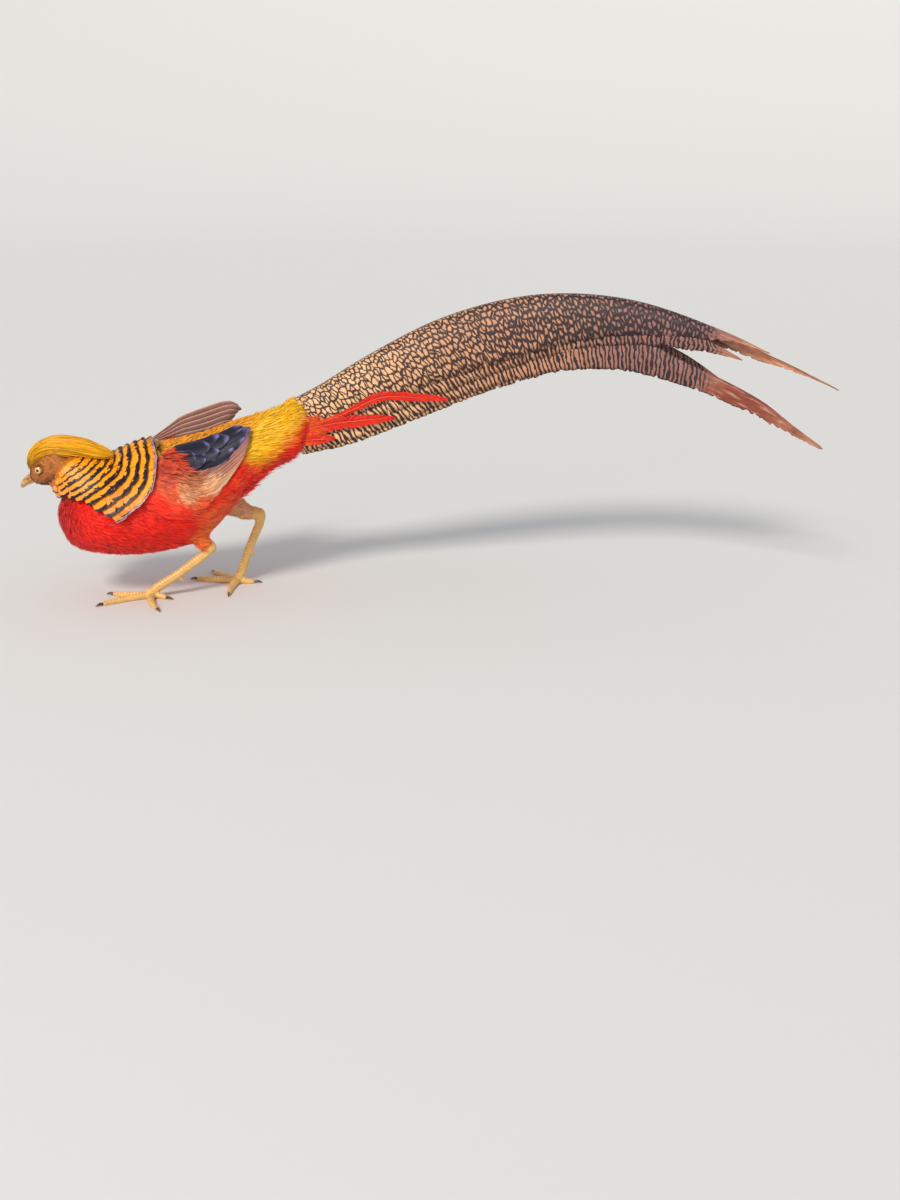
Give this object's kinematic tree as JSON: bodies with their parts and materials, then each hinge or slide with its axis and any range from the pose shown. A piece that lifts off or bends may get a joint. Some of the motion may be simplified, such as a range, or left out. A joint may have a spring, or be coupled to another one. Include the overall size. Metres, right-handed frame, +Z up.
{
  "type": "golden pheasant",
  "caption": "Life-size still model of a male golden pheasant in mid step, head low and turned a little away, with its long arched tail trailing behind.",
  "frame": {"origin": "middle of the bounding box, at the level of the soles that stand on the floor", "axes": "+X from the head to the tail along the trunk, +Y to the bird's right, +Z up"},
  "size_m": [0.8156, 0.2216, 0.3047],
  "materials": {
    "scarlet_plumage": "matte",
    "golden_plumage": "satin",
    "face_plumage": "matte",
    "cape_plumage": "satin",
    "shoulder_plumage": "matte",
    "blue_flight_feathers": "satin",
    "brown_flight_feathers": "matte",
    "tail_feathers": "satin",
    "leg_scales": "satin",
    "horn": "satin",
    "eye": "polished"
  },
  "bodies": {
    "root": {"trunk": "scarlet_plumage", "rump": "golden_plumage", "neck": "face_plumage", "head": "face_plumage", "eye_left": "eye", "eye_right": "eye", "bill_upper": "horn", "bill_lower": "horn", "crest": "golden_plumage", "cape_left": "cape_plumage", "cape_right": "cape_plumage", "wing_right_raised": "brown_flight_feathers", "wing_left_shoulder": "shoulder_plumage", "wing_left_tertials": "blue_flight_feathers", "wing_left_primaries": "brown_flight_feathers", "tail_centre_left": "tail_feathers", "tail_side_left_1": "tail_feathers", "tail_covert_left_1": "scarlet_plumage", "tail_side_left_2": "tail_feathers", "tail_covert_left_2": "scarlet_plumage", "tail_side_left_3": "tail_feathers", "tail_covert_left_3": "scarlet_plumage", "thigh_left": "scarlet_plumage", "shank_left": "leg_scales", "foot_left": "leg_scales", "claw_left_middle": "horn", "claw_left_outer": "horn", "claw_left_inner": "horn", "claw_left_hind": "horn", "wing_right_shoulder": "shoulder_plumage", "wing_right_tertials": "blue_flight_feathers", "wing_right_primaries": "brown_flight_feathers", "tail_centre_right": "tail_feathers", "tail_side_right_1": "tail_feathers", "tail_covert_right_1": "scarlet_plumage", "tail_side_right_2": "tail_feathers", "tail_covert_right_2": "scarlet_plumage", "tail_side_right_3": "tail_feathers", "tail_covert_right_3": "scarlet_plumage", "thigh_right": "scarlet_plumage", "shank_right": "leg_scales", "foot_right": "leg_scales", "claw_right_middle": "horn", "claw_right_outer": "horn", "claw_right_inner": "horn", "claw_right_hind": "horn"}
  },
  "joints": []
}
